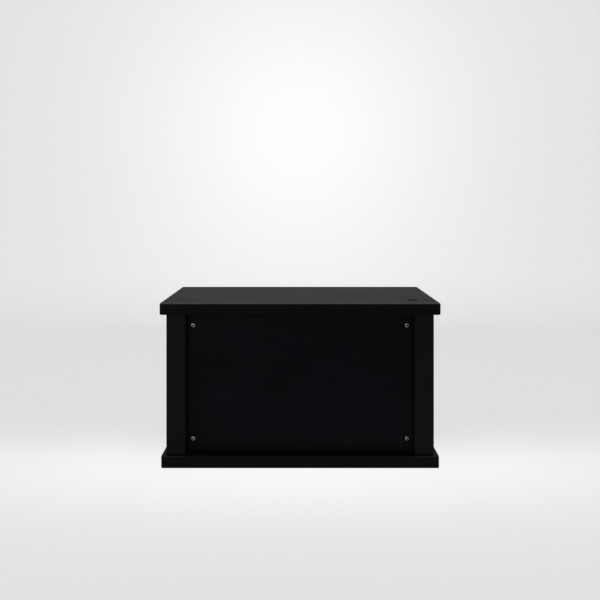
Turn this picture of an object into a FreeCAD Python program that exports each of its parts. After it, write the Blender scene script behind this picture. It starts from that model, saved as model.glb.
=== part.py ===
"""A capped apple box: a hollow plywood box to stand, sit or set gear on.

An overhanging top plate and base plate are joined by four corner stiles and two end boards with
hand holes. A rib stands in the middle. The back panel is glued in, and the front panel is held by
four machine screws, so it comes off.

Millimetres. The origin is the centre of the footprint on the floor, +X is to the right of someone
facing the front panel, +Y runs from the front to the back, and +Z is up.
"""

import FreeCAD, Part
import os
from FreeCAD import Vector

# Overall size and the two overhanging plates
LENGTH = 510.0
DEPTH = 300.0
HEIGHT = 300.0
TOP_THICKNESS = 22.0
BASE_THICKNESS = 22.0
TOP_OVERHANG = 11.0
BASE_OVERHANG = 8.5
TOP_EDGE_RADIUS = 3.0
BASE_EDGE_RADIUS = 1.5
PLATE_CORNER_RADIUS = 4.0

# Frame between the plates
STILE_WIDTH = 35.0
PANEL_RECESS = 18.0
PANEL_THICKNESS = 6.0
STILE_THICKNESS = PANEL_RECESS + PANEL_THICKNESS
END_THICKNESS = 18.0
RIB_THICKNESS = 18.0
BATTEN_WIDTH = 30.0
BATTEN_THICKNESS = 18.0
EDGE_EASE = 0.8
SIDE_JOINT_EASE = 0.4

# Front panel, which lifts off
PANEL_GAP = 0.5
RIB_TO_PANEL_GAP = 1.0

# Hand hole in each end board
HAND_HOLE_LENGTH = 115.0
HAND_HOLE_HEIGHT = 35.0
HAND_HOLE_CENTRE_Z = 200.0
HAND_HOLE_EDGE_RADIUS = 4.0

# Round hole through the top plate, near its front right corner
TOP_HOLE_RADIUS = 11.5
TOP_HOLE_FROM_RIGHT = 44.5
TOP_HOLE_FROM_FRONT = 50.0
TOP_HOLE_RIM_RADIUS = 0.8

# Blocks behind the front panel, and the machine screws and inserts in them
SCREW_FROM_SIDE = 11.75
SCREW_FROM_TOP = 22.0
SCREW_FROM_BASE = 25.0
BLOCK_HEIGHT = 46.0
BLOCK_WIDTH = 39.0
BLOCK_THICKNESS = 18.0
BLOCK_TO_TOP_GAP = 12.0
PANEL_SCREW_RADIUS = 2.0
PANEL_SCREW_LENGTH = 16.0
PAN_HEAD_RADIUS = 4.0
PAN_HEAD_HEIGHT = 2.5
PAN_HEAD_DOME = 1.5
INSERT_RADIUS = 3.2
INSERT_LENGTH = 13.0
LIFT_OFF_CLEARANCE = 0.3

# Cross recess in the screw heads
CROSS_SPAN = 4.8
CROSS_ARM = 1.5
CROSS_DEPTH = 1.6

# Dowels and countersunk wood screws that hold the frame together
GLUE_CLEARANCE = 0.05
DOWEL_RADIUS = 4.0
DOWEL_END_ROOM = 1.0
TOP_DOWEL_IN_PLATE = 12.0
TOP_DOWEL_IN_BOARD = 18.0
STILE_DOWEL_IN_STILE = 9.0
STILE_DOWEL_IN_BOARD = 16.0
STILE_DOWEL_COUNT = 3
BOARD_FASTENER_Y = 60.0
WOOD_SCREW_RADIUS = 2.25
WOOD_SCREW_LENGTH = 55.0
WOOD_SCREW_TIP = 4.0
WOOD_SCREW_TIP_RADIUS = 0.3
WOOD_HEAD_RADIUS = 4.5
WOOD_HEAD_SUNK = 0.5

# Places that follow from the sizes above
WALL_BOTTOM = BASE_THICKNESS
WALL_TOP = HEIGHT - TOP_THICKNESS
WALL_HEIGHT = WALL_TOP - WALL_BOTTOM
FRAME_X = LENGTH / 2 - TOP_OVERHANG
FRAME_Y = DEPTH / 2 - TOP_OVERHANG
BASE_LENGTH = 2 * (FRAME_X + BASE_OVERHANG)
BASE_DEPTH = 2 * (FRAME_Y + BASE_OVERHANG)
OPENING_X = FRAME_X - STILE_WIDTH
INSIDE_X = FRAME_X - END_THICKNESS
INSIDE_Y = FRAME_Y - STILE_THICKNESS
PANEL_FACE_Y = FRAME_Y - PANEL_RECESS
SCREW_X = OPENING_X - SCREW_FROM_SIDE
LOWER_SCREW_Z = WALL_BOTTOM + SCREW_FROM_BASE
UPPER_SCREW_Z = WALL_TOP - SCREW_FROM_TOP
TOP_HOLE_X = LENGTH / 2 - TOP_HOLE_FROM_RIGHT
TOP_HOLE_Y = TOP_HOLE_FROM_FRONT - DEPTH / 2

TOUCHING = 1e-4

UP = Vector(0, 0, 1)
BACKWARD = Vector(0, 1, 0)
ALONG_X = Vector(1, 0, 0)
SIDES = {"left": -1, "right": 1}
ENDS = {"front": -1, "back": 1}


def box(x_range, y_range, z_range):
    """A block between the given low and high values on each axis."""
    (x0, x1), (y0, y1), (z0, z1) = sorted(x_range), sorted(y_range), sorted(z_range)
    return Part.makeBox(x1 - x0, y1 - y0, z1 - z0, Vector(x0, y0, z0))


def edges_at(shape, axis, value):
    """The edges that lie wholly in the plane where the axis ('x', 'y' or 'z') has this value."""
    found = []
    for edge in shape.Edges:
        places = [getattr(vertex.Point, axis) for vertex in edge.Vertexes]
        places.append(getattr(edge.CenterOfMass, axis))
        if all(abs(place - value) < TOUCHING for place in places):
            found.append(edge)
    return found


def is_upright(edge):
    """Whether an edge is straight and vertical."""
    return isinstance(edge.Curve, Part.Line) and edge.Curve.Direction.cross(UP).Length < TOUCHING


def is_circle(edge, radius):
    """Whether an edge is round and has this radius."""
    return isinstance(edge.Curve, Part.Circle) and abs(edge.Curve.Radius - radius) < TOUCHING


def upright_edges(shape, axis, value):
    """The vertical edges in the plane where the axis has this value."""
    return [edge for edge in edges_at(shape, axis, value) if is_upright(edge)]


def joint_edge(shape, side, end):
    """The vertical outside edge where a stile and its end board meet."""
    return [edge for edge in upright_edges(shape, "x", side * FRAME_X)
            if abs(edge.CenterOfMass.y - end * INSIDE_Y) < TOUCHING]


def drilled(shape, points, direction, radius, depth):
    """The shape with round holes that start at the points and run along direction."""
    for point in points:
        shape = shape.cut(Part.makeCylinder(radius, depth, point, direction))
    return shape


def plate(length, depth, z_bottom, z_top, edge_radius):
    """A rounded plate: plan corners first, then the edges round its two faces."""
    blank = box((-length / 2, length / 2), (-depth / 2, depth / 2), (z_bottom, z_top))
    corners = [edge for edge in blank.Edges if is_upright(edge)]
    blank = blank.makeFillet(PLATE_CORNER_RADIUS, corners)
    blank = blank.makeFillet(edge_radius, edges_at(blank, "z", z_top))
    return blank.makeFillet(edge_radius, edges_at(blank, "z", z_bottom))


def board_joints():
    """Plan places of the dowels above, and the screws below, the upright boards."""
    stile_x = FRAME_X - STILE_WIDTH / 2
    stile_y = FRAME_Y - STILE_THICKNESS / 2
    end_x = FRAME_X - END_THICKNESS / 2
    stiles = [(side * stile_x, end * stile_y) for side in (-1, 1) for end in (-1, 1)]
    boards = [(x, end * BOARD_FASTENER_Y) for x in (-end_x, 0, end_x) for end in (-1, 1)]
    return stiles + boards


def jointed(board):
    """An upright board with its dowel holes above and its screw holes below."""
    for x, y in board_joints():
        dowel_foot = Vector(x, y, WALL_TOP - TOP_DOWEL_IN_BOARD - DOWEL_END_ROOM)
        dowel_depth = TOP_DOWEL_IN_BOARD + DOWEL_END_ROOM
        screw_depth = WOOD_SCREW_LENGTH + WOOD_HEAD_SUNK - WALL_BOTTOM + DOWEL_END_ROOM
        board = drilled(board, [dowel_foot], UP, DOWEL_RADIUS + GLUE_CLEARANCE, dowel_depth)
        screw_foot = Vector(x, y, WALL_BOTTOM)
        board = drilled(board, [screw_foot], UP, WOOD_SCREW_RADIUS + GLUE_CLEARANCE, screw_depth)
    return board


def stile_dowel_points(side, end):
    """Where the dowels between a stile and its end board cross their joint."""
    x = side * (FRAME_X - END_THICKNESS / 2)
    step = WALL_HEIGHT / (STILE_DOWEL_COUNT + 1)
    heights = [WALL_BOTTOM + step * (i + 1) for i in range(STILE_DOWEL_COUNT)]
    return [Vector(x, end * INSIDE_Y, z) for z in heights]


def top_plate():
    """The overhanging top, with the round hole and blind dowel holes in its underside."""
    shape = plate(LENGTH, DEPTH, WALL_TOP, HEIGHT, TOP_EDGE_RADIUS)
    hole_foot = Vector(TOP_HOLE_X, TOP_HOLE_Y, WALL_TOP)
    shape = drilled(shape, [hole_foot], UP, TOP_HOLE_RADIUS, TOP_THICKNESS)
    rim = [edge for edge in edges_at(shape, "z", HEIGHT) if is_circle(edge, TOP_HOLE_RADIUS)]
    shape = shape.makeFillet(TOP_HOLE_RIM_RADIUS, rim)
    feet = [Vector(x, y, WALL_TOP) for x, y in board_joints()]
    depth = TOP_DOWEL_IN_PLATE + DOWEL_END_ROOM
    return drilled(shape, feet, UP, DOWEL_RADIUS + GLUE_CLEARANCE, depth)


def base_plate():
    """The overhanging base, with countersunk screw holes up through it."""
    shape = plate(BASE_LENGTH, BASE_DEPTH, 0, BASE_THICKNESS, BASE_EDGE_RADIUS)
    cone_height = WOOD_HEAD_RADIUS - WOOD_SCREW_RADIUS
    for x, y in board_joints():
        foot = Vector(x, y, 0)
        shape = drilled(shape, [foot], UP, WOOD_SCREW_RADIUS + GLUE_CLEARANCE, BASE_THICKNESS)
        shape = drilled(shape, [foot], UP, WOOD_HEAD_RADIUS + GLUE_CLEARANCE, WOOD_HEAD_SUNK)
        shape = shape.cut(Part.makeCone(WOOD_HEAD_RADIUS + GLUE_CLEARANCE,
                                        WOOD_SCREW_RADIUS + GLUE_CLEARANCE,
                                        cone_height, foot + UP * WOOD_HEAD_SUNK))
    return shape


def stile(side, end):
    """A corner upright, eased on its outer edges, with dowel holes towards its end board."""
    shape = box((side * OPENING_X, side * FRAME_X), (end * INSIDE_Y, end * FRAME_Y),
                (WALL_BOTTOM, WALL_TOP))
    shape = shape.makeFillet(EDGE_EASE, upright_edges(shape, "y", end * FRAME_Y))
    shape = shape.makeFillet(SIDE_JOINT_EASE, joint_edge(shape, side, end))
    depth = STILE_DOWEL_IN_STILE + DOWEL_END_ROOM
    shape = drilled(shape, stile_dowel_points(side, end), BACKWARD * end,
                    DOWEL_RADIUS + GLUE_CLEARANCE, depth)
    return jointed(shape)


def hand_hole_cutter(side):
    """A solid the shape of a hand hole: a straight middle with two half-round ends."""
    half_run = (HAND_HOLE_LENGTH - HAND_HOLE_HEIGHT) / 2
    radius = HAND_HOLE_HEIGHT / 2
    middle = box((side * INSIDE_X, side * FRAME_X), (-half_run, half_run),
                 (HAND_HOLE_CENTRE_Z - radius, HAND_HOLE_CENTRE_Z + radius))
    ends = [Part.makeCylinder(radius, END_THICKNESS, Vector(side * INSIDE_X, y, HAND_HOLE_CENTRE_Z),
                              ALONG_X * side) for y in (-half_run, half_run)]
    return middle.fuse(ends).removeSplitter()


def end_panel(side):
    """An end board with its hand hole, and dowel holes in both upright edges."""
    shape = box((side * INSIDE_X, side * FRAME_X), (-INSIDE_Y, INSIDE_Y), (WALL_BOTTOM, WALL_TOP))
    shape = shape.cut(hand_hole_cutter(side))
    rims = [edge for x in (INSIDE_X, FRAME_X) for edge in edges_at(shape, "x", side * x)
            if abs(edge.CenterOfMass.z - HAND_HOLE_CENTRE_Z) < HAND_HOLE_HEIGHT
            and abs(edge.CenterOfMass.y) < HAND_HOLE_LENGTH]
    shape = shape.makeFillet(HAND_HOLE_EDGE_RADIUS, rims)
    for end in (-1, 1):
        shape = shape.makeFillet(SIDE_JOINT_EASE, joint_edge(shape, side, end))
        depth = STILE_DOWEL_IN_BOARD + DOWEL_END_ROOM
        shape = drilled(shape, stile_dowel_points(side, end), BACKWARD * -end,
                        DOWEL_RADIUS + GLUE_CLEARANCE, depth)
    return jointed(shape)


def centre_rib():
    """The upright board in the middle, which carries the load from the top to the base."""
    shape = box((-RIB_THICKNESS / 2, RIB_THICKNESS / 2), (RIB_TO_PANEL_GAP - INSIDE_Y, INSIDE_Y),
                (WALL_BOTTOM, WALL_TOP))
    return jointed(shape)


def back_panel():
    """The fixed panel, let in between the back stiles."""
    return box((-OPENING_X, OPENING_X), (INSIDE_Y, PANEL_FACE_Y), (WALL_BOTTOM, WALL_TOP))


def back_batten(side):
    """An upright batten in the back corner, which the back panel is glued to."""
    return box((side * (INSIDE_X - BATTEN_WIDTH), side * INSIDE_X),
               (INSIDE_Y - BATTEN_THICKNESS, INSIDE_Y), (WALL_BOTTOM, WALL_TOP))


def panel_screw_places():
    """The four screws' places on the inner face of the front panel."""
    return [Vector(side * SCREW_X, -INSIDE_Y, z)
            for side in (-1, 1) for z in (LOWER_SCREW_Z, UPPER_SCREW_Z)]


def screw_block(side, z_bottom):
    """A block behind a corner of the front panel, drilled for its insert and the screw's tip."""
    shape = box((side * (INSIDE_X - BLOCK_WIDTH), side * INSIDE_X),
                (-INSIDE_Y, BLOCK_THICKNESS - INSIDE_Y), (z_bottom, z_bottom + BLOCK_HEIGHT))
    return drilled(shape, panel_screw_places(), BACKWARD,
                   INSERT_RADIUS + GLUE_CLEARANCE, INSERT_LENGTH)


def threaded_inserts():
    """The brass inserts that the panel screws go into."""
    inserts = []
    for place in panel_screw_places():
        sleeve = Part.makeCylinder(INSERT_RADIUS, INSERT_LENGTH, place, BACKWARD)
        bore_radius = PANEL_SCREW_RADIUS + LIFT_OFF_CLEARANCE
        inserts.append(drilled(sleeve, [place], BACKWARD, bore_radius, INSERT_LENGTH))
    return Part.Compound(inserts)


def front_panel():
    """The panel that comes off, with play all round and four screw holes."""
    half_width = OPENING_X - PANEL_GAP
    shape = box((-half_width, half_width), (-PANEL_FACE_Y, -INSIDE_Y),
                (WALL_BOTTOM + PANEL_GAP, WALL_TOP - PANEL_GAP))
    shape = shape.makeFillet(EDGE_EASE, edges_at(shape, "y", -PANEL_FACE_Y))
    starts = [place - BACKWARD * PANEL_THICKNESS for place in panel_screw_places()]
    return drilled(shape, starts, BACKWARD, PANEL_SCREW_RADIUS + LIFT_OFF_CLEARANCE, PANEL_THICKNESS)


def cross_recess(centre, direction, side_axis):
    """The cross cut into a screw head, as deep as CROSS_DEPTH along direction."""
    across = direction.cross(side_axis)
    arms = []
    for run, width in ((side_axis, across), (across, side_axis)):
        corner = centre - run * (CROSS_SPAN / 2) - width * (CROSS_ARM / 2)
        points = [corner, corner + run * CROSS_SPAN,
                  corner + run * CROSS_SPAN + width * CROSS_ARM, corner + width * CROSS_ARM]
        face = Part.Face(Part.makePolygon(points + [corner]))
        arms.append(face.extrude(direction * CROSS_DEPTH))
    return arms[0].fuse(arms[1]).removeSplitter()


def pan_head_screw(place):
    """A machine screw whose domed head bears on the front of the panel."""
    seat = place - BACKWARD * PANEL_THICKNESS
    crown = seat - BACKWARD * PAN_HEAD_HEIGHT
    head = Part.makeCylinder(PAN_HEAD_RADIUS, PAN_HEAD_HEIGHT, crown, BACKWARD)
    rim = [edge for edge in edges_at(head, "y", crown.y) if is_circle(edge, PAN_HEAD_RADIUS)]
    head = head.makeFillet(PAN_HEAD_DOME, rim)
    shank = Part.makeCylinder(PANEL_SCREW_RADIUS, PANEL_SCREW_LENGTH, seat, BACKWARD)
    screw = head.fuse(shank).removeSplitter()
    return screw.cut(cross_recess(crown, BACKWARD, ALONG_X))


def panel_screws():
    """The four machine screws that hold the front panel."""
    return Part.Compound([pan_head_screw(place) for place in panel_screw_places()])


def wood_screw(x, y):
    """A countersunk wood screw, driven upwards from just inside the base's underside."""
    foot = Vector(x, y, WOOD_HEAD_SUNK)
    head_height = WOOD_HEAD_RADIUS - WOOD_SCREW_RADIUS
    head = Part.makeCone(WOOD_HEAD_RADIUS, WOOD_SCREW_RADIUS, head_height, foot)
    shank_length = WOOD_SCREW_LENGTH - head_height - WOOD_SCREW_TIP
    shank = Part.makeCylinder(WOOD_SCREW_RADIUS, shank_length, foot + UP * head_height)
    tip = Part.makeCone(WOOD_SCREW_RADIUS, WOOD_SCREW_TIP_RADIUS, WOOD_SCREW_TIP,
                        foot + UP * (head_height + shank_length))
    screw = head.fuse([shank, tip]).removeSplitter()
    return screw.cut(cross_recess(foot, UP, ALONG_X))


def base_screws():
    """The wood screws through the base, one under each joint of the uprights."""
    return Part.Compound([wood_screw(x, y) for x, y in board_joints()])


def top_dowels():
    """The dowels that fix the top plate to the uprights, with nothing seen from above."""
    length = TOP_DOWEL_IN_PLATE + TOP_DOWEL_IN_BOARD
    feet = [Vector(x, y, WALL_TOP - TOP_DOWEL_IN_BOARD) for x, y in board_joints()]
    return Part.Compound([Part.makeCylinder(DOWEL_RADIUS, length, foot, UP) for foot in feet])


def stile_dowels():
    """The level dowels between the stiles and the end boards."""
    length = STILE_DOWEL_IN_STILE + STILE_DOWEL_IN_BOARD
    dowels = []
    for side in (-1, 1):
        for end in (-1, 1):
            inward = BACKWARD * -end
            for point in stile_dowel_points(side, end):
                start = point - inward * STILE_DOWEL_IN_STILE
                dowels.append(Part.makeCylinder(DOWEL_RADIUS, length, start, inward))
    return Part.Compound(dowels)


def all_nodes():
    """Every piece of the box, by its node name."""
    nodes = {
        "top_plate": top_plate(),
        "base_plate": base_plate(),
        "centre_rib": centre_rib(),
        "back_panel": back_panel(),
        "front_panel": front_panel(),
        "panel_screws": panel_screws(),
        "threaded_inserts": threaded_inserts(),
        "base_screws": base_screws(),
        "top_dowels": top_dowels(),
        "stile_dowels": stile_dowels(),
    }
    upper_block_z = WALL_TOP - BLOCK_TO_TOP_GAP - BLOCK_HEIGHT
    for side_name, side in SIDES.items():
        nodes[f"{side_name}_end_panel"] = end_panel(side)
        nodes[f"back_{side_name}_batten"] = back_batten(side)
        nodes[f"upper_{side_name}_screw_block"] = screw_block(side, upper_block_z)
        nodes[f"lower_{side_name}_screw_block"] = screw_block(side, WALL_BOTTOM)
        for end_name, end in ENDS.items():
            nodes[f"{end_name}_{side_name}_stile"] = stile(side, end)
    return nodes


def main():
    os.makedirs("parts", exist_ok=True)
    for name, shape in all_nodes().items():
        shape.exportStep(f"parts/{name}.step")
        print(f"{name:26s} solids {len(shape.Solids):2d} valid {shape.isValid()}"
              f" volume {shape.Volume / 1000:9.1f} cm3")


main()
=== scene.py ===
"""The looks of the capped apple box: painted and bare wood, detailed screws, studio and camera.

Metres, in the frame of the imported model: the front panel faces -Y and the floor is at Z = 0.
"""

import math

import bmesh
import bpy
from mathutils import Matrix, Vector


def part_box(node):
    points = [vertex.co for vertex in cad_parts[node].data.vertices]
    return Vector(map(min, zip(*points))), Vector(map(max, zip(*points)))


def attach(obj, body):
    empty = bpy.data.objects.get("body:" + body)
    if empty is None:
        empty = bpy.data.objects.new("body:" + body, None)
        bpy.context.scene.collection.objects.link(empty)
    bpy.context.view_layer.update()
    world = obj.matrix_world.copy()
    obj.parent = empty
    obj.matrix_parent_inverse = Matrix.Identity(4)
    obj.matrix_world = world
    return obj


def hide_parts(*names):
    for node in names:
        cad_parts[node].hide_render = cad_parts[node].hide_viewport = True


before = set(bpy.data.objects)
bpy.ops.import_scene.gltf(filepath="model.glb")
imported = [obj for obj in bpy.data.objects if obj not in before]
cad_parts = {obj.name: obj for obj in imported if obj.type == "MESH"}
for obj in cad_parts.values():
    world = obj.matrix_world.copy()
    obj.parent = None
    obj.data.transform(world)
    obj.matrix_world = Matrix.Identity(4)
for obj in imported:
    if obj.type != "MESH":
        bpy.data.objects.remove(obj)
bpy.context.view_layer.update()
scene = bpy.context.scene

# Camera: level, close to the box's middle line, with the horizon raised in the frame
CAMERA_PLACE = (-0.0028, -1.6585, 0.4787)
CAMERA_LENS = 50.0
CAMERA_SENSOR = 36.0
CAMERA_SHIFT = (0.0024, -0.15942)

# Studio: a glowing sweep, brightest round the box's foot and in the middle of the wall
FLOOR_FRONT_Y = -3.0
FLOOR_BACK_Y = 1.5
SWEEP_RADIUS = 0.6
SWEEP_STEPS = 24
STUDIO_HALF_WIDTH = 3.0
WALL_TOP_Z = 3.0
SWEEP_GLOW = 0.665
FLOOR_GLOW = (0.25, 0.66, 0.24, 1.3)
FLOOR_GLOW_Y = -0.15
FLOOR_GLOW_FADE = (-0.06, 0.22)
WALL_GLOW = (0.275, 0.78, 0.80, 1.0)
WALL_GLOW_Z = 0.80
SWEEP_COLOUR = (0.04, 0.04, 0.04)
SWEEP_ROUGHNESS = 0.8
WALL_GLOW_RISE = 0.7
OVERHEAD_PLACE, OVERHEAD_TARGET = (0.0, 0.35, 2.2), (0.0, 0.35, 0.0)
OVERHEAD_SIZE = (1.3, 1.0)
OVERHEAD_POWER = 60.0
FILL_PLACE, FILL_TARGET = (-0.9, -2.0, 0.55), (0.0, 0.0, 0.2)
FILL_SIZE = (0.8, 0.9)
FILL_POWER = 9.0
AIR_COLOUR = (0.93, 0.96, 1.0)
AIR_STRENGTH = 0.74

# Inside of the box, where the wood is bare
INSIDE_LOW = Vector(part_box("left_end_panel")[0])
INSIDE_LOW.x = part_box("left_end_panel")[1][0]
INSIDE_HIGH = -INSIDE_LOW
INSIDE_HIGH.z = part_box("left_end_panel")[1][2]
HAND_HOLE_Z = 0.200
PAINT_LINE = 0.0004  # how far past the inside faces the wood still counts as bare

# Panel screws: M4 pan heads, in metres from the face that the head bears on
SCREW_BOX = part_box("panel_screws")
PANEL_FACE_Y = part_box("front_panel")[0][1]
HEAD_RADIUS = 0.0040
HEAD_HEIGHT = PANEL_FACE_Y - SCREW_BOX[0][1]
HEAD_SKIRT = 0.0009
HEAD_FULLNESS = 3.2
SCREW_LENGTH = SCREW_BOX[1][1] - PANEL_FACE_Y
SCREW_CREST = 0.00198
SCREW_ROOT = 0.00157
SCREW_PITCH = 0.0007
SCREW_POINT = 0.0008
SCREW_SIDES = 40
ROWS_PER_TURN = 8
DOME_ROWS = 12
RECESS_SPAN = 0.0048
RECESS_WIDTH = 0.0015
RECESS_DEPTH = 0.0017
RECESS_CORE = 0.0015
RECESS_TAPER = 0.45
CORE_STEPS = 6
SCREW_TURNS = (20, 65, 110, 155)
SHARP_ANGLE = 32

# Paint: tuned under this studio's light and not measured from real paint
PAINT_COLOUR = (0.0020, 0.0023, 0.0031)
# Darker copy of the one black paint for the plates and lighter copy for the stiles: painted shade and
# painted light
PLATE_PAINT_SHADED_COLOUR = (0.0017, 0.0020, 0.0026)
STILE_PAINT_LIT_COLOUR = (0.0032, 0.0035, 0.0042)
# Lighter colour of the chips and scratches, also laid on up-facing rounded edges as a painted highlight
PAINT_WEAR_AND_HIGHLIGHT = (0.028, 0.028, 0.028)
PAINT_SCUFFED = (0.0022, 0.0021, 0.0020)
PAINT_DARKER, PAINT_LIGHTER = 0.88, 1.47
PAINT_ROUGHNESS = 0.26
PAINT_ROUGHNESS_DRIFT = 0.015
SCUFFED_TOP_ROUGHNESS = 0.57
SMEAR_ROUGHNESS = (-0.01, 0.02)
MARK_ROUGHNESS = 0.1
PAINT_SPECULAR = 0.024
PAINT_RELIEF = 0.000012
CHIP_REACH = 0.0012
CHIP_SHARE = 0.08
SCRATCH_SHARE = 0.05
# Painted highlight on up-facing rounded edges: its share rises from the middle towards the ends, and is
# full on the top plate
EDGE_HIGHLIGHT_FROM_X, EDGE_HIGHLIGHT_TO_X = 0.190, 0.248
EDGE_HIGHLIGHT_MIDDLE, EDGE_HIGHLIGHT_END = 0.08, 0.55
EDGE_HIGHLIGHT_FROM_Z, EDGE_HIGHLIGHT_TO_Z = 0.25, 0.29
OVERSPRAY_REACH = (0.036, 0.075)
OVERSPRAY_SHARE = 0.85
OVERSPRAY_GAIN = 6.0

# Wood: light and dark colour of each kind, and the plies of the plywood
BIRCH_LIGHT = (0.66, 0.49, 0.31)
BIRCH_DARK = (0.52, 0.36, 0.20)
PINE_LIGHT = (0.66, 0.46, 0.26)
PINE_DARK = (0.50, 0.29, 0.12)
BEECH_LIGHT = (0.60, 0.40, 0.23)
BEECH_DARK = (0.48, 0.29, 0.15)
GLUE_LINE = (0.09, 0.05, 0.03)
BARE_ROUGHNESS = 0.62
WOOD_SPECULAR = 0.3
PLY_THICKNESS = 0.0028
PLY_WOBBLE = 0.00025
PLYWOOD_RELIEF = 0.00006
SOFTWOOD_RELIEF = 0.00005
RINGS_ACROSS_VENEER = 7.0
RINGS_ACROSS_BOARD = 9.0

# Metal: colour, and roughness where it matters
NICKEL = (0.225, 0.225, 0.225)
NICKEL_ROUGHNESS = (0.24, 0.36)
NICKEL_RELIEF = 0.000003
# Share of the nickel colour left in the screws' recess and thread grooves, as painted shade
NICKEL_RECESS_SHADE = 0.05
BRASS = (0.78, 0.58, 0.26)
BRASS_ROUGHNESS = 0.24
ZINC = (0.60, 0.61, 0.64)
ZINC_ROUGHNESS = 0.34
METAL_RELIEF = 0.000004

# Even textures: scale, detail and roughness of the noise
ORANGE_PEEL = (650.0, 2.0, 0.5)
PAINT_PATCHES = (7.0, 4.0, 0.6)
PAINT_CHIPS = (70.0, 4.0, 0.7)
OVERSPRAY_SPECKLE = (420.0, 3.0, 0.7)
UNEVEN_PLIES = (30.0, 2.0, 0.5)
METAL_CLOUD = (900.0, 3.0, 0.6)
METAL_GRIME = (2600.0, 2.0, 0.6)
NICKEL_CLOUD = (1400.0, 3.0, 0.6)
NICKEL_GRAIN = (5200.0, 2.0, 0.6)

# Streaked textures: scale along and across the streaks, detail, roughness and, in some, distortion
TELEGRAPHED_GRAIN = (9.0, 420.0, 4.0, 0.6)
PAINT_SMEARS = (14.0, 55.0, 4.0, 0.65)
PAINT_SCRATCHES = (18.0, 900.0, 2.0, 0.5, 0.4)
VENEER_FIGURE = (2.2, 26.0, 3.0, 0.55, 1.2)
VENEER_PORES = (60.0, 1500.0, 2.0, 0.6)
PLY_FIBRES = (300.0, 2500.0, 3.0, 0.7)
BOARD_FIGURE = (3.0, 18.0, 2.0, 0.5, 0.8)
BOARD_FIBRES = (40.0, 1600.0, 3.0, 0.7)
TURNING_MARKS = (14000.0, 30.0, 1.0, 0.5)


# ---------------------------------------------------------------- node helpers


class Graph:
    """Short ways to add nodes to one material and link them."""

    def __init__(self, name):
        self.material = bpy.data.materials.new(name)
        self.material.use_nodes = True
        self.tree = self.material.node_tree
        self.tree.nodes.clear()
        self.shader = self.add("ShaderNodeBsdfPrincipled")
        output = self.add("ShaderNodeOutputMaterial")
        self.link(self.shader.outputs["BSDF"], output.inputs["Surface"])
        coordinates = self.add("ShaderNodeTexCoord")
        self.place = coordinates.outputs["Object"]
        self.facing = coordinates.outputs["Normal"]

    def add(self, kind, **settings):
        node = self.tree.nodes.new(kind)
        for key, value in settings.items():
            setattr(node, key, value)
        return node

    def link(self, source, target):
        self.tree.links.new(source, target)

    def feed(self, socket, value):
        """Links a socket, or sets a plain number or colour on it."""
        if isinstance(value, bpy.types.NodeSocket):
            self.link(value, socket)
        else:
            socket.default_value = value

    def math(self, operation, first, second=0.5):
        """One arithmetic step on one or two numbers."""
        node = self.add("ShaderNodeMath", operation=operation)
        self.feed(node.inputs[0], first)
        self.feed(node.inputs[1], second)
        return node.outputs[0]

    def axes(self, vector):
        """The X, Y and Z parts of a vector."""
        node = self.add("ShaderNodeSeparateXYZ")
        self.link(vector, node.inputs[0])
        return node.outputs

    def stretched(self, scale):
        """Object coordinates, scaled by a different amount along each axis."""
        node = self.add("ShaderNodeMapping")
        self.link(self.place, node.inputs["Vector"])
        node.inputs["Scale"].default_value = scale
        return node.outputs["Vector"]

    def noise(self, scale, detail, roughness, vector=None, distortion=0.0):
        """Fractal noise between 0 and 1, over object coordinates unless told otherwise."""
        node = self.add("ShaderNodeTexNoise")
        self.link(vector or self.place, node.inputs["Vector"])
        node.inputs["Scale"].default_value = scale
        node.inputs["Detail"].default_value = detail
        node.inputs["Roughness"].default_value = roughness
        node.inputs["Distortion"].default_value = distortion
        return node.outputs["Fac"]

    def spread(self, value, low, high, new_low=0.0, new_high=1.0):
        """A value remapped from one range to another, and clamped to it."""
        node = self.add("ShaderNodeMapRange")
        for i, item in enumerate((value, low, high, new_low, new_high)):
            self.feed(node.inputs[i], item)
        return node.outputs["Result"]

    def mix(self, share, first, second):
        """A colour between two others."""
        node = self.add("ShaderNodeMix", data_type="RGBA")
        self.feed(node.inputs[0], share)
        self.feed(node.inputs[6], first)
        self.feed(node.inputs[7], second)
        return node.outputs[2]

    def blend(self, share, first, second):
        """A number between two others."""
        node = self.add("ShaderNodeMix", data_type="FLOAT")
        self.feed(node.inputs[0], share)
        self.feed(node.inputs[2], first)
        self.feed(node.inputs[3], second)
        return node.outputs[0]

    def bump(self, height, distance):
        """A normal tilted by a height texture, whose full range is distance."""
        node = self.add("ShaderNodeBump")
        node.inputs["Strength"].default_value = 1.0
        node.inputs["Distance"].default_value = distance
        self.link(height, node.inputs["Height"])
        return node.outputs["Normal"]

    def edges(self, radius):
        """Near 1 within the radius of an edge, and 0 on open faces."""
        bevel = self.add("ShaderNodeBevel", samples=6)
        bevel.inputs["Radius"].default_value = radius
        geometry = self.add("ShaderNodeNewGeometry")
        node = self.add("ShaderNodeVectorMath", operation="DOT_PRODUCT")
        self.link(bevel.outputs["Normal"], node.inputs[0])
        self.link(geometry.outputs["Normal"], node.inputs[1])
        return self.spread(node.outputs["Value"], 0.995, 0.90)


def with_alpha(colour, gain=1.0):
    """A node colour from three numbers, made lighter or darker."""
    return [part * gain for part in colour] + [1.0]


# ---------------------------------------------------------------- wood


def grain_scale(run, along, across):
    """Texture scales that draw streaks out along one axis."""
    return [along if axis == run else across for axis in "xyz"]


def streaks(g, run, along, across, detail, roughness, distortion=0.0):
    """Noise drawn out into streaks along one axis."""
    return g.noise(1.0, detail, roughness, g.stretched(grain_scale(run, along, across)), distortion)


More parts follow.
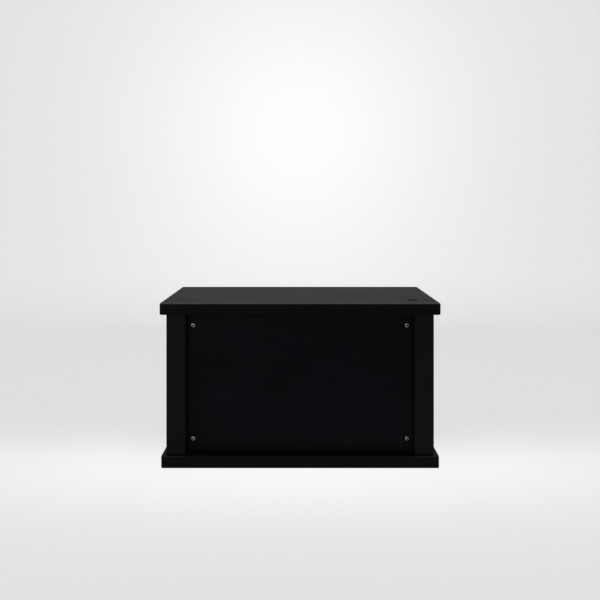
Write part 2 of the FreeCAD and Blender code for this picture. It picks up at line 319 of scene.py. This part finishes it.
def inside_mask(g):
    """1 on the faces that look into the box, 0 on the outside ones."""
    x, y, z = g.axes(g.place)
    far_x = g.math("ABSOLUTE", x)
    far_y = g.math("ABSOLUTE", y)
    parts = [
        g.math("LESS_THAN", far_x, INSIDE_HIGH.x + PAINT_LINE),
        g.math("LESS_THAN", far_y, INSIDE_HIGH.y + PAINT_LINE),
        g.math("GREATER_THAN", z, INSIDE_LOW.z - PAINT_LINE),
        g.math("LESS_THAN", z, INSIDE_HIGH.z + PAINT_LINE),
    ]
    mask = parts[0]
    for part in parts[1:]:
        mask = g.math("MULTIPLY", mask, part)
    return mask


def overspray_mask(g):
    """Paint dust on the bare wood round the hand holes, thinning with distance."""
    _, y, z = g.axes(g.place)
    drop = g.math("SUBTRACT", z, HAND_HOLE_Z)
    along = g.math("MULTIPLY", y, 0.45)
    reach = g.math("SQRT", g.math("ADD", g.math("MULTIPLY", along, along),
                                  g.math("MULTIPLY", drop, drop)))
    speckle = g.noise(*OVERSPRAY_SPECKLE)
    ragged = g.math("ADD", reach, g.math("MULTIPLY", speckle, 0.03))
    return g.spread(ragged, *OVERSPRAY_REACH, OVERSPRAY_SHARE, 0.0)


def veneer(g, run, light, dark):
    """(colour, relief) of a sliced veneer face: long cathedral streaks and fine pores."""
    figure = streaks(g, run, *VENEER_FIGURE)
    bands = g.math("FRACT", g.math("MULTIPLY", figure, RINGS_ACROSS_VENEER))
    pore_lines = g.spread(streaks(g, run, *VENEER_PORES), 0.58, 0.72)
    base = g.mix(bands, with_alpha(light), with_alpha(dark))
    colour = g.mix(g.math("MULTIPLY", pore_lines, 0.5), base, with_alpha(dark, 0.7))
    return colour, g.math("SUBTRACT", bands, pore_lines)


def black_paint(name, run, paint):
    """Black paint on smooth board with chips, scratches and a painted highlight on up-facing rounded edges,
    and bare birch inside the box.
    """
    g = Graph(name)
    peel = g.noise(*ORANGE_PEEL)
    telegraph = streaks(g, run, *TELEGRAPHED_GRAIN)
    patches = g.noise(*PAINT_PATCHES)
    smears = streaks(g, run, *PAINT_SMEARS)
    scratches = g.spread(streaks(g, run, *PAINT_SCRATCHES), 0.72, 0.78)
    up = g.axes(g.facing)[2]
    rounded = g.math("MULTIPLY", g.spread(up, 0.22, 0.42), g.spread(up, 0.998, 0.97))
    far_x = g.math("ABSOLUTE", g.axes(g.place)[0])
    low_share = g.spread(far_x, EDGE_HIGHLIGHT_FROM_X, EDGE_HIGHLIGHT_TO_X, EDGE_HIGHLIGHT_MIDDLE, EDGE_HIGHLIGHT_END)
    high_share = g.spread(g.axes(g.place)[2], EDGE_HIGHLIGHT_FROM_Z, EDGE_HIGHLIGHT_TO_Z)
    # Painted highlight: up-facing rounded edges are lightened, fully on the top plate and more towards the
    # ends below it
    painted_edge_highlight = g.math("MULTIPLY", rounded, g.blend(high_share, low_share, 1.0))
    chips = g.spread(g.noise(*PAINT_CHIPS), 0.62, 0.72)
    chipped = g.math("MULTIPLY", g.edges(CHIP_REACH), chips)
    upward = g.spread(up, 0.75, 0.98)

    wear_highlight_colour = with_alpha(PAINT_WEAR_AND_HIGHLIGHT)
    shade = g.spread(g.blend(0.35, patches, telegraph), 0.36, 0.64)
    colour = g.mix(shade, with_alpha(paint, PAINT_DARKER), with_alpha(paint, PAINT_LIGHTER))
    colour = g.mix(upward, colour, with_alpha(PAINT_SCUFFED))
    chipped = g.math("MULTIPLY", chipped, CHIP_SHARE)
    scratches = g.math("MULTIPLY", scratches, SCRATCH_SHARE)
    # Chips and scratches are wear; the rounded-edge share is a painted highlight
    wear_marks_and_highlight = g.math("MAXIMUM", g.math("MAXIMUM", chipped, scratches), painted_edge_highlight)
    colour = g.mix(wear_marks_and_highlight, colour, wear_highlight_colour)

    gloss = g.spread(patches, 0.3, 0.7, PAINT_ROUGHNESS - PAINT_ROUGHNESS_DRIFT,
                     PAINT_ROUGHNESS + PAINT_ROUGHNESS_DRIFT)
    gloss = g.math("ADD", gloss, g.spread(smears, 0.35, 0.7, *SMEAR_ROUGHNESS))
    gloss = g.math("ADD", gloss, g.math("MULTIPLY", upward, SCUFFED_TOP_ROUGHNESS - PAINT_ROUGHNESS))
    gloss = g.math("ADD", gloss, g.math("MULTIPLY", wear_marks_and_highlight, MARK_ROUGHNESS))

    birch, birch_relief = veneer(g, run, BIRCH_LIGHT, BIRCH_DARK)
    dusted = g.mix(overspray_mask(g), birch, with_alpha(PAINT_COLOUR, OVERSPRAY_GAIN))
    bare = inside_mask(g)
    g.feed(g.shader.inputs["Base Color"], g.mix(bare, colour, dusted))
    g.feed(g.shader.inputs["Roughness"], g.blend(bare, gloss, BARE_ROUGHNESS))
    g.shader.inputs["Specular IOR Level"].default_value = PAINT_SPECULAR
    painted_height = g.math("ADD", peel, g.math("MULTIPLY", telegraph, 0.8))
    height = g.blend(bare, painted_height, birch_relief)
    g.feed(g.shader.inputs["Normal"], g.bump(height, PAINT_RELIEF))
    return g.material


def plywood(name, run, stack):
    """Bare birch plywood: veneer faces, and plies that stack along one axis on its edges."""
    g = Graph(name)
    face, relief = veneer(g, run, BIRCH_LIGHT, BIRCH_DARK)
    depth = g.axes(g.place)["XYZ".index(stack.upper())]
    wobble = g.math("MULTIPLY", g.noise(*UNEVEN_PLIES), PLY_WOBBLE)
    plies = g.math("FRACT", g.math("DIVIDE", g.math("ADD", depth, wobble), PLY_THICKNESS))
    from_middle = g.math("ABSOLUTE", g.math("SUBTRACT", plies, 0.5))
    which = g.spread(from_middle, 0.22, 0.28)
    from_joint = g.math("ABSOLUTE", g.math("SUBTRACT", from_middle, 0.25))
    glue = g.spread(from_joint, 0.03, 0.015)
    fibres = streaks(g, run, *PLY_FIBRES)
    edge = g.mix(which, with_alpha(BIRCH_LIGHT, 0.92), with_alpha(BIRCH_DARK, 0.72))
    dark_fibres = g.math("MULTIPLY", g.spread(fibres, 0.5, 0.75), 0.4)
    edge = g.mix(dark_fibres, edge, with_alpha(BIRCH_DARK, 0.5))
    edge = g.mix(g.math("MULTIPLY", glue, 0.7), edge, with_alpha(GLUE_LINE))
    along_stack = g.math("ABSOLUTE", g.axes(g.facing)["XYZ".index(stack.upper())])
    on_face = g.spread(along_stack, 0.4, 0.6)
    g.feed(g.shader.inputs["Base Color"], g.mix(on_face, edge, face))
    g.feed(g.shader.inputs["Roughness"], g.spread(fibres, 0.3, 0.7, 0.55, 0.72))
    g.shader.inputs["Specular IOR Level"].default_value = WOOD_SPECULAR
    g.feed(g.shader.inputs["Normal"], g.bump(g.blend(on_face, fibres, relief), PLYWOOD_RELIEF))
    return g.material


def softwood(name, run, light, dark):
    """Planed solid wood with growth rings that show as stripes along the grain."""
    g = Graph(name)
    figure = streaks(g, run, *BOARD_FIGURE)
    rings = g.math("FRACT", g.math("MULTIPLY", figure, RINGS_ACROSS_BOARD))
    late = g.spread(rings, 0.55, 0.98)
    fibres = streaks(g, run, *BOARD_FIBRES)
    colour = g.mix(late, with_alpha(light), with_alpha(dark))
    dark_fibres = g.math("MULTIPLY", g.spread(fibres, 0.5, 0.75), 0.35)
    colour = g.mix(dark_fibres, colour, with_alpha(dark, 0.7))
    g.feed(g.shader.inputs["Base Color"], colour)
    g.feed(g.shader.inputs["Roughness"], g.spread(fibres, 0.3, 0.7, 0.5, 0.68))
    g.shader.inputs["Specular IOR Level"].default_value = WOOD_SPECULAR
    g.feed(g.shader.inputs["Normal"], g.bump(g.math("ADD", late, fibres), SOFTWOOD_RELIEF))
    return g.material


# ---------------------------------------------------------------- metal and studio materials


def metal(name, colour, rough, turned=None):
    """Metal with uneven gloss and, if turned is an axis, fine rings left by turning."""
    g = Graph(name)
    cloud = g.noise(*METAL_CLOUD)
    grime_and_shade = g.noise(*METAL_GRIME)
    shade = g.mix(g.spread(cloud, 0.3, 0.7), with_alpha(colour), with_alpha(colour, 0.82))
    g.feed(g.shader.inputs["Base Color"], shade)
    g.shader.inputs["Metallic"].default_value = 1.0
    g.feed(g.shader.inputs["Roughness"], g.spread(cloud, 0.3, 0.7, rough - 0.04, rough + 0.10))
    height = grime_and_shade
    if turned:
        height = g.math("ADD", grime_and_shade, streaks(g, turned, *TURNING_MARKS))
    g.feed(g.shader.inputs["Normal"], g.bump(height, METAL_RELIEF))
    return g.material


def screw_steel():
    """Dull nickel plate, with shade painted dark into the recess and the thread grooves."""
    g = Graph("nickel_plate")
    x, y, z = g.axes(g.place)
    reach = g.math("SQRT", g.math("ADD", g.math("MULTIPLY", x, x), g.math("MULTIPLY", z, z)))
    inner = g.spread(reach, RECESS_SPAN / 2 + 0.0001, RECESS_SPAN / 2 - 0.0001)
    sunk = g.spread(y, 0.0001 - HEAD_HEIGHT, 0.0004 - HEAD_HEIGHT)
    groove = g.spread(reach, SCREW_CREST, SCREW_ROOT)
    cloud = g.noise(*NICKEL_CLOUD)
    # Painted shade: the cross recess is darkened almost to black and the thread grooves by half
    grime_and_shade = g.math("MAXIMUM", g.math("MULTIPLY", inner, sunk), g.math("MULTIPLY", groove, 0.5))
    clean = g.mix(g.spread(cloud, 0.3, 0.7), with_alpha(NICKEL), with_alpha(NICKEL, 0.75))
    g.feed(g.shader.inputs["Base Color"], g.mix(grime_and_shade, clean, with_alpha(NICKEL, NICKEL_RECESS_SHADE)))
    g.shader.inputs["Metallic"].default_value = 1.0
    g.feed(g.shader.inputs["Roughness"], g.spread(cloud, 0.3, 0.7, *NICKEL_ROUGHNESS))
    g.feed(g.shader.inputs["Normal"], g.bump(g.noise(*NICKEL_GRAIN), NICKEL_RELIEF))
    return g.material


def hill(g, first, second, shape):
    """A soft round hill of brightness over two axes; shape is its height, two widths and fall."""
    height, first_width, second_width, fall = shape
    across = g.math("DIVIDE", first, first_width)
    along = g.math("DIVIDE", second, second_width)
    reach = g.math("ADD", g.math("MULTIPLY", across, across), g.math("MULTIPLY", along, along))
    return g.math("MULTIPLY", g.math("POWER", g.math("ADD", reach, 1.0), -fall), height)


def painted_glow_sweep():
    """Painted light: a sweep that glows though it is no lamp and hardly reflects, with pools of light round
    the box's foot and in the middle of the wall.
    """
    g = Graph("painted_glow_sweep")
    x, y, z = g.axes(g.place)
    # Painted pools of light: one on the floor round the box's foot, one in the middle of the wall
    floor = hill(g, x, g.math("SUBTRACT", y, FLOOR_GLOW_Y), FLOOR_GLOW)
    floor = g.math("MULTIPLY", floor, g.spread(y, *FLOOR_GLOW_FADE, 1.0, 0.0))
    wall = hill(g, x, g.math("SUBTRACT", z, WALL_GLOW_Z), WALL_GLOW)
    wall = g.math("MULTIPLY", wall, g.spread(y, FLOOR_BACK_Y, FLOOR_BACK_Y + WALL_GLOW_RISE * SWEEP_RADIUS))
    glow = g.math("ADD", g.math("ADD", floor, wall), SWEEP_GLOW)
    g.shader.inputs["Base Color"].default_value = with_alpha(SWEEP_COLOUR)
    g.shader.inputs["Roughness"].default_value = SWEEP_ROUGHNESS
    g.shader.inputs["Specular IOR Level"].default_value = 0.0
    g.shader.inputs["Emission Color"].default_value = with_alpha((1.0, 1.0, 1.0))
    g.feed(g.shader.inputs["Emission Strength"], glow)
    return g.material


def dress_nodes():
    """Gives every CAD node its own finish."""
    painted_x = black_paint("black_paint_along_x", "x", PAINT_COLOUR)
    painted_y = black_paint("black_paint_along_y", "y", PAINT_COLOUR)
    # Lighter copy of the black paint on the stiles and darker copy on the plates: painted light and painted
    # shade
    lit_stile_paint = black_paint("black_paint_stiles_lit", "z", STILE_PAINT_LIT_COLOUR)
    shaded_plate_paint = black_paint("black_paint_plates_shaded", "x", PLATE_PAINT_SHADED_COLOUR)
    pine = softwood("planed_pine", "z", PINE_LIGHT, PINE_DARK)
    finishes = {
        "top_plate": shaded_plate_paint, "base_plate": shaded_plate_paint,
        "front_panel": painted_x, "back_panel": painted_x,
        "left_end_panel": painted_y, "right_end_panel": painted_y,
        "centre_rib": plywood("birch_plywood", "z", "x"),
        "top_dowels": softwood("beech_upright", "z", BEECH_LIGHT, BEECH_DARK),
        "stile_dowels": softwood("beech_level", "y", BEECH_LIGHT, BEECH_DARK),
        "threaded_inserts": metal("turned_brass", BRASS, BRASS_ROUGHNESS, "y"),
        "panel_screws": screw_steel(),
        "base_screws": metal("zinc_plate", ZINC, ZINC_ROUGHNESS),
    }
    for name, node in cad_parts.items():
        if name.endswith("_stile"):
            finishes[name] = lit_stile_paint
        if name.endswith(("_batten", "_block")):
            finishes[name] = pine
        node.data.materials.clear()
        node.data.materials.append(finishes[name])


# ---------------------------------------------------------------- detailed screws


def thread_radius(depth, angle):
    """Radius of the threaded shank at a depth below the head, easing in at both ends."""
    phase = (depth / SCREW_PITCH - angle / (2 * math.pi)) % 1.0
    ridge = 1 - abs(2 * phase - 1)
    ends = min(depth / SCREW_PITCH, (SCREW_LENGTH - depth) / SCREW_POINT, 1.0)
    return SCREW_ROOT + (SCREW_CREST - SCREW_ROOT) * ridge * max(ends, 0.0)


def screw_rows():
    """(Y, radius for an angle) of every ring of the screw, from its crown to its tip."""
    rows = []
    for i in range(1, DOME_ROWS + 1):
        turn = math.radians(90 * i / DOME_ROWS)
        drop = (HEAD_HEIGHT - HEAD_SKIRT) * (1 - abs(math.cos(turn)) ** (2 / HEAD_FULLNESS))
        reach = HEAD_RADIUS * math.sin(turn) ** (2 / HEAD_FULLNESS)
        rows.append((drop - HEAD_HEIGHT, lambda angle, r=reach: r))
    rows.append((0.0, lambda angle: HEAD_RADIUS))
    steps = round(SCREW_LENGTH / SCREW_PITCH * ROWS_PER_TURN)
    for i in range(steps + 1):
        depth = SCREW_LENGTH * i / steps
        rows.append((depth, lambda angle, d=depth: thread_radius(d, angle)))
    return rows


def screw_blank():
    """A pan head screw with a helical thread and no recess, along +Y from its head."""
    shape = bmesh.new()
    crown = shape.verts.new((0.0, -HEAD_HEIGHT, 0.0))
    tip = shape.verts.new((0.0, SCREW_LENGTH, 0.0))
    rings = []
    for y, radius in screw_rows():
        ring = []
        for i in range(SCREW_SIDES):
            angle = 2 * math.pi * i / SCREW_SIDES
            r = radius(angle)
            ring.append(shape.verts.new((r * math.cos(angle), y, r * math.sin(angle))))
        rings.append(ring)
    for i in range(SCREW_SIDES):
        j = (i + 1) % SCREW_SIDES
        shape.faces.new((crown, rings[0][i], rings[0][j]))
        shape.faces.new((tip, rings[-1][j], rings[-1][i]))
        for above, below in zip(rings, rings[1:]):
            shape.faces.new((above[i], below[i], below[j], above[j]))
    return finished_mesh(shape, "screw_blank")


def recess_outline():
    """(X, Z) points round the recess on the face of the head: four arms and a round core."""
    half = RECESS_WIDTH / 2
    start = math.asin(half / RECESS_CORE)
    points = []
    for arm in range(4):
        turn = math.pi / 2 * arm
        along = Vector((math.cos(turn), math.sin(turn)))
        across = Vector((-math.sin(turn), math.cos(turn)))
        points.append(along * RECESS_SPAN / 2 - across * half)
        points.append(along * RECESS_SPAN / 2 + across * half)
        for i in range(CORE_STEPS + 1):
            angle = turn + start + (math.pi / 2 - 2 * start) * i / CORE_STEPS
            points.append(RECESS_CORE * Vector((math.cos(angle), math.sin(angle))))
    return points


def recess_cutter():
    """A solid cross that narrows with depth, twice as long as the recess is deep."""
    shape = bmesh.new()
    rings = []
    for depth, share in ((-RECESS_DEPTH, 2 - RECESS_TAPER), (RECESS_DEPTH, RECESS_TAPER)):
        rings.append([shape.verts.new((share * x, depth - HEAD_HEIGHT, share * z))
                      for x, z in recess_outline()])
    outer, inner = rings
    shape.faces.new(outer)
    shape.faces.new(reversed(inner))
    for i in range(len(outer)):
        j = (i + 1) % len(outer)
        shape.faces.new((outer[i], inner[i], inner[j], outer[j]))
    return finished_mesh(shape, "recess_cutter")


def finished_mesh(shape, name):
    """Turns a bmesh into a mesh whose faces all point outwards."""
    bmesh.ops.recalc_face_normals(shape, faces=shape.faces)
    mesh = bpy.data.meshes.new(name)
    shape.to_mesh(mesh)
    shape.free()
    return mesh


def screw_mesh():
    """The screw with its cross recess cut."""
    blank = bpy.data.objects.new("screw_blank", screw_blank())
    cutter = bpy.data.objects.new("recess_cutter", recess_cutter())
    for item in (blank, cutter):
        scene.collection.objects.link(item)
    cut = blank.modifiers.new("recess", "BOOLEAN")
    cut.object = cutter
    cut.solver = "EXACT"
    view = bpy.context.evaluated_depsgraph_get()
    mesh = bpy.data.meshes.new_from_object(blank.evaluated_get(view))
    mesh.name = "panel_screw"
    for item in (blank, cutter):
        leftover = item.data
        bpy.data.objects.remove(item)
        bpy.data.meshes.remove(leftover)
    mesh.shade_smooth()
    mesh.set_sharp_from_angle(angle=math.radians(SHARP_ANGLE))
    return mesh


def detailed_screws():
    """The four panel screws, each with its cross turned a different way."""
    mesh = screw_mesh()
    mesh.materials.clear()
    mesh.materials.append(screw_steel())
    low, high = (Vector(corner) for corner in SCREW_BOX)
    places = [(x, z) for x in (low.x + HEAD_RADIUS, high.x - HEAD_RADIUS)
              for z in (low.z + HEAD_RADIUS, high.z - HEAD_RADIUS)]
    for number, (x, z) in enumerate(places, 1):
        screw = bpy.data.objects.new(f"panel_screw_{number}", mesh)
        screw.location = (x, PANEL_FACE_Y, z)
        screw.rotation_euler = (0, math.radians(SCREW_TURNS[number - 1]), 0)
        scene.collection.objects.link(screw)
        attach(screw, "panel_screws")
        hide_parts("panel_screws")


# ---------------------------------------------------------------- studio


def sweep():
    """The floor, curving up into the wall behind."""
    profile = [(FLOOR_FRONT_Y, 0.0)]
    for i in range(SWEEP_STEPS + 1):
        turn = math.radians(90 * i / SWEEP_STEPS)
        profile.append((FLOOR_BACK_Y + SWEEP_RADIUS * math.sin(turn),
                        SWEEP_RADIUS * (1 - math.cos(turn))))
    profile.append((FLOOR_BACK_Y + SWEEP_RADIUS, WALL_TOP_Z))
    mesh = bpy.data.meshes.new("studio_sweep")
    points = [(x, y, z) for y, z in profile for x in (-STUDIO_HALF_WIDTH, STUDIO_HALF_WIDTH)]
    faces = [(2 * i, 2 * i + 1, 2 * i + 3, 2 * i + 2) for i in range(len(profile) - 1)]
    mesh.from_pydata(points, [], faces)
    for polygon in mesh.polygons:
        polygon.use_smooth = True
    floor = bpy.data.objects.new("studio_sweep", mesh)
    scene.collection.objects.link(floor)
    mesh.materials.append(painted_glow_sweep())


def area_light(name, place, target, size, power):
    """A soft rectangular light at place, facing target."""
    data = bpy.data.lights.new(name, "AREA")
    data.shape = "RECTANGLE"
    data.size, data.size_y = size
    data.energy = power
    light = bpy.data.objects.new(name, data)
    light.location = place
    light.rotation_euler = (Vector(target) - Vector(place)).to_track_quat("-Z", "Y").to_euler()
    scene.collection.objects.link(light)
    return light


def studio():
    """The sweep, the two lights and the air's own light."""
    sweep()
    area_light("overhead", OVERHEAD_PLACE, OVERHEAD_TARGET, OVERHEAD_SIZE, OVERHEAD_POWER)
    area_light("left_fill", FILL_PLACE, FILL_TARGET, FILL_SIZE, FILL_POWER)
    world = bpy.data.worlds.new("studio_air")
    world.use_nodes = True
    air = world.node_tree.nodes["Background"]
    air.inputs["Color"].default_value = with_alpha(AIR_COLOUR)
    air.inputs["Strength"].default_value = AIR_STRENGTH
    scene.world = world
    scene.view_settings.view_transform = "Standard"


def camera():
    """The level camera in front of the box."""
    data = bpy.data.cameras.new("camera")
    data.lens = CAMERA_LENS
    data.sensor_width = CAMERA_SENSOR
    data.shift_x, data.shift_y = CAMERA_SHIFT
    eye = bpy.data.objects.new("camera", data)
    eye.location = CAMERA_PLACE
    eye.rotation_euler = (math.radians(90), 0, 0)
    scene.collection.objects.link(eye)
    scene.camera = eye


dress_nodes()
detailed_screws()
studio()
camera()
